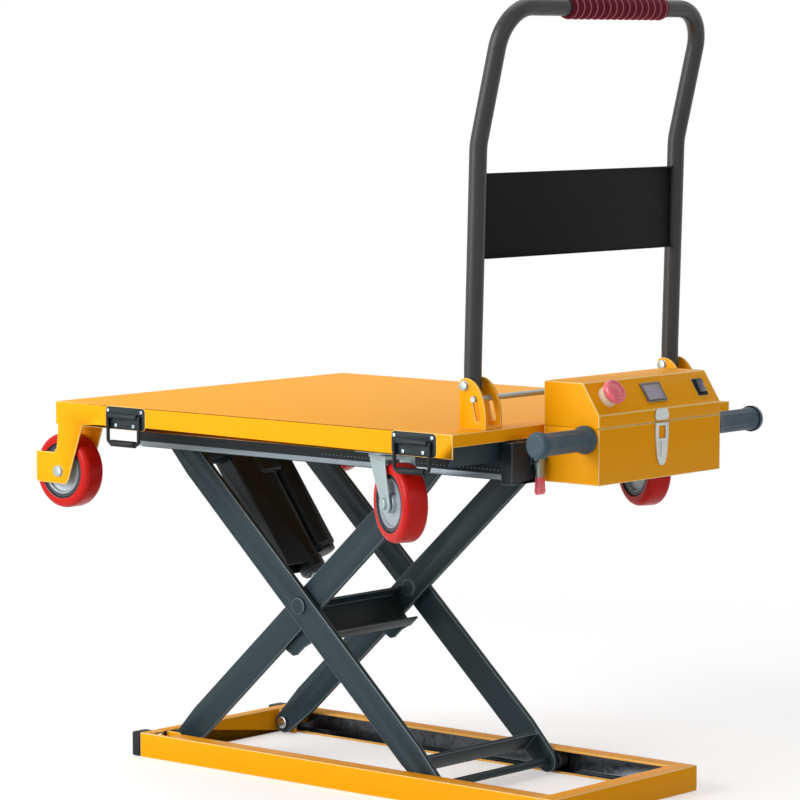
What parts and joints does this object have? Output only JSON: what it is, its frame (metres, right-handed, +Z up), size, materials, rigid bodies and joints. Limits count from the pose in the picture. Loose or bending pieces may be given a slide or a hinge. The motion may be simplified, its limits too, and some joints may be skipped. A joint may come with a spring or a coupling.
{
  "type": "electric scissor lift cart",
  "caption": "Battery scissor lift cart: floor frame, single scissor with actuator, sliding deck on casters, folding push handle and control box.",
  "frame": {"origin": "bottom centre of the bounding box, on the floor under the base frame", "axes": "+Z up, +X towards the operator's end with the push handle, -Y the side seen in the picture"},
  "size_m": [1.057, 0.747, 1.2935],
  "materials": {
    "yellow_paint": "gloss",
    "dark_paint": "satin",
    "black_paint": "satin",
    "zinc_steel": "satin",
    "steel": "satin",
    "tyre_red": "satin",
    "hub_grey": "satin",
    "black_plastic": "matte",
    "grip_rubber": "matte",
    "foam": "matte",
    "cream_plastic": "gloss",
    "stop_red": "gloss",
    "meter_plastic": "gloss",
    "switch_plastic": "gloss",
    "battery_case": "matte",
    "roller_nylon": "satin",
    "tube_paint": "satin"
  },
  "bodies": {
    "base": {"base_channel_near": "yellow_paint", "base_channel_far": "yellow_paint", "base_left_member": "yellow_paint", "base_right_member": "yellow_paint", "base_cap_near": "black_plastic", "base_cap_far": "black_plastic"},
    "inner_arms": {"inner_arm_near": "dark_paint", "inner_arm_far": "dark_paint", "inner_cross_beam": "dark_paint", "inner_roller_shaft": "steel"},
    "outer_arms": {"outer_arm_near": "dark_paint", "outer_arm_far": "dark_paint", "outer_cross_tube": "dark_paint", "outer_roller_shaft": "steel"},
    "top_frame": {"top_rail_near": "black_paint", "top_rail_far": "black_paint", "top_pivot_member": "black_paint", "top_end_plate": "black_paint", "control_box_body": "yellow_paint", "battery_pack": "battery_case", "side_grip_bar": "grip_rubber"},
    "actuator_body": {"actuator_housing": "black_paint"},
    "actuator_piston": {"actuator_rod": "steel"},
    "deck": {"deck_tray": "yellow_paint", "deck_slide_near": "black_paint", "deck_slide_far": "black_paint", "caster_mount_near": "dark_paint", "caster_mount_far": "dark_paint", "handle_bracket_near": "yellow_paint", "handle_bracket_far": "yellow_paint"},
    "push_handle": {"push_handle_tube": "tube_paint", "handle_panel": "black_paint", "handle_grip": "foam"},
    "lock_rod": {"handle_lock_rod": "zinc_steel"},
    "box_lid": {"control_box_lid": "yellow_paint", "estop_collar": "cream_plastic", "battery_meter": "meter_plastic", "latch_catch": "zinc_steel"},
    "estop_head": {"estop_button": "stop_red"},
    "rocker": {"rocker_switch": "switch_plastic"},
    "latch": {"latch_lever": "zinc_steel"},
    "slide_lock": {"slide_lock_lever": "zinc_steel"},
    "base_roller_near_body": {"base_roller_near": "roller_nylon"},
    "top_roller_near_body": {"top_roller_near": "roller_nylon"},
    "base_roller_far_body": {"base_roller_far": "roller_nylon"},
    "top_roller_far_body": {"top_roller_far": "roller_nylon"},
    "fixed_wheel_near": {"fixed_tyre_near": "tyre_red", "fixed_hub_near": "hub_grey"},
    "caster_swivel_near": {"caster_fork_near": "zinc_steel"},
    "caster_wheel_near": {"caster_tyre_near": "tyre_red", "caster_hub_near": "hub_grey"},
    "fixed_wheel_far": {"fixed_tyre_far": "tyre_red", "fixed_hub_far": "hub_grey"},
    "caster_swivel_far": {"caster_fork_far": "zinc_steel"},
    "caster_wheel_far": {"caster_tyre_far": "tyre_red", "caster_hub_far": "hub_grey"},
    "bail_near_1": {"chest_bail_near_1": "black_plastic"},
    "bail_near_2": {"chest_bail_near_2": "black_plastic"},
    "bail_far_1": {"chest_bail_far_1": "black_plastic"},
    "bail_far_2": {"chest_bail_far_2": "black_plastic"}
  },
  "joints": [
    {"name": "scissor_fold", "type": "hinge", "parent": "base", "child": "inner_arms", "pos_m": [-0.405, 0, 0.021], "axis": [0, 1, 0], "range_deg": [0, 36]},
    {"name": "outer_fold", "type": "hinge", "parent": "inner_arms", "child": "outer_arms", "pos_m": [-0.11494, 0, 0.28913], "axis": [0, 1, 0], "range_deg": [-72, 0]},
    {"name": "top_level", "type": "hinge", "parent": "outer_arms", "child": "top_frame", "pos_m": [-0.405, 0, 0.55725], "axis": [0, 1, 0], "range_deg": [0, 36]},
    {"name": "base_roller_turn_near", "type": "hinge", "parent": "outer_arms", "child": "base_roller_near_body", "pos_m": [0.17511, -0.172, 0.021], "axis": [0, 1, 0], "continuous": true},
    {"name": "top_roller_turn_near", "type": "hinge", "parent": "inner_arms", "child": "top_roller_near_body", "pos_m": [0.17511, -0.172, 0.55725], "axis": [0, 1, 0], "continuous": true},
    {"name": "base_roller_turn_far", "type": "hinge", "parent": "outer_arms", "child": "base_roller_far_body", "pos_m": [0.17511, 0.172, 0.021], "axis": [0, 1, 0], "continuous": true},
    {"name": "top_roller_turn_far", "type": "hinge", "parent": "inner_arms", "child": "top_roller_far_body", "pos_m": [0.17511, 0.172, 0.55725], "axis": [0, 1, 0], "continuous": true},
    {"name": "actuator_tilt", "type": "hinge", "parent": "outer_arms", "child": "actuator_body", "pos_m": [-0.36094, 0, 0.51653], "axis": [0, 1, 0], "range_deg": [-6, 0]},
    {"name": "actuator_stroke", "type": "slide", "parent": "actuator_body", "child": "actuator_piston", "axis": [0.5945, 0, -0.8041], "range_m": [-0.066, 0]},
    {"name": "deck_slide", "type": "slide", "parent": "top_frame", "child": "deck", "axis": [-1, 0, 0], "range_m": [0, 0.4]},
    {"name": "fixed_wheel_turn_near", "type": "hinge", "parent": "deck", "child": "fixed_wheel_near", "pos_m": [-0.466, -0.336, 0.507], "axis": [0, 1, 0], "continuous": true},
    {"name": "caster_swivel_turn_near", "type": "hinge", "parent": "deck", "child": "caster_swivel_near", "pos_m": [0.226, -0.316, 0.5806], "axis": [0, 0, 1], "continuous": true},
    {"name": "caster_wheel_turn_near", "type": "hinge", "parent": "caster_swivel_near", "child": "caster_wheel_near", "pos_m": [0.25706, -0.32983, 0.507], "axis": [0.4067, 0.9135, 0], "continuous": true},
    {"name": "fixed_wheel_turn_far", "type": "hinge", "parent": "deck", "child": "fixed_wheel_far", "pos_m": [-0.466, 0.336, 0.507], "axis": [0, 1, 0], "continuous": true},
    {"name": "caster_swivel_turn_far", "type": "hinge", "parent": "deck", "child": "caster_swivel_far", "pos_m": [0.226, 0.316, 0.5806], "axis": [0, 0, 1], "continuous": true},
    {"name": "caster_wheel_turn_far", "type": "hinge", "parent": "caster_swivel_far", "child": "caster_wheel_far", "pos_m": [0.25706, 0.30217, 0.507], "axis": [0.4067, 0.9135, 0], "continuous": true},
    {"name": "bail_swing_near_1", "type": "hinge", "parent": "deck", "child": "bail_near_1", "pos_m": [-0.3085, -0.368, 0.6085], "axis": [-1, 0, 0], "range_deg": [0, 90]},
    {"name": "bail_swing_near_2", "type": "hinge", "parent": "deck", "child": "bail_near_2", "pos_m": [0.3115, -0.368, 0.6085], "axis": [-1, 0, 0], "range_deg": [0, 90]},
    {"name": "bail_swing_far_1", "type": "hinge", "parent": "deck", "child": "bail_far_1", "pos_m": [-0.3085, 0.368, 0.6085], "axis": [1, 0, 0], "range_deg": [0, 90]},
    {"name": "bail_swing_far_2", "type": "hinge", "parent": "deck", "child": "bail_far_2", "pos_m": [0.3115, 0.368, 0.6085], "axis": [1, 0, 0], "range_deg": [0, 90]},
    {"name": "handle_fold", "type": "hinge", "parent": "deck", "child": "push_handle", "pos_m": [0.342, 0, 0.691], "axis": [0, 1, 0], "range_deg": [-90, 0]},
    {"name": "lock_rod_slide", "type": "slide", "parent": "deck", "child": "lock_rod", "axis": [0.2577, 0, -0.9662], "range_m": [0, 0.031], "stiffness_N_per_m": 300, "springref_m": -0.02},
    {"name": "lid_open", "type": "hinge", "parent": "top_frame", "child": "box_lid", "pos_m": [0.4036, 0, 0.6255], "axis": [0, -1, 0], "range_deg": [0, 35]},
    {"name": "estop_push", "type": "slide", "parent": "box_lid", "child": "estop_head", "axis": [-0.8372, 0, -0.5468], "range_m": [0, 0.004], "stiffness_N_per_m": 400, "springref_m": -0.002},
    {"name": "rocker_tip", "type": "hinge", "parent": "box_lid", "child": "rocker", "pos_m": [0.50101, 0.124, 0.67247], "axis": [0, 1, 0], "range_deg": [-8, 8]},
    {"name": "latch_swing", "type": "hinge", "parent": "top_frame", "child": "latch", "pos_m": [0.5168, 0, 0.6235], "axis": [0, -1, 0], "range_deg": [0, 100]},
    {"name": "slide_lock_swing", "type": "hinge", "parent": "top_frame", "child": "slide_lock", "pos_m": [0.4115, -0.177, 0.57425], "axis": [0, -1, 0], "range_deg": [0, 80]}
  ],
  "couplings": [
    {"joint": "outer_fold", "follows": "scissor_fold", "ratio": -2},
    {"joint": "top_level", "follows": "scissor_fold", "ratio": 1},
    {"joint": "actuator_tilt", "follows": "scissor_fold", "ratio": -0.164},
    {"joint": "actuator_stroke", "follows": "scissor_fold", "m_per_rad": -0.1048}
  ]
}
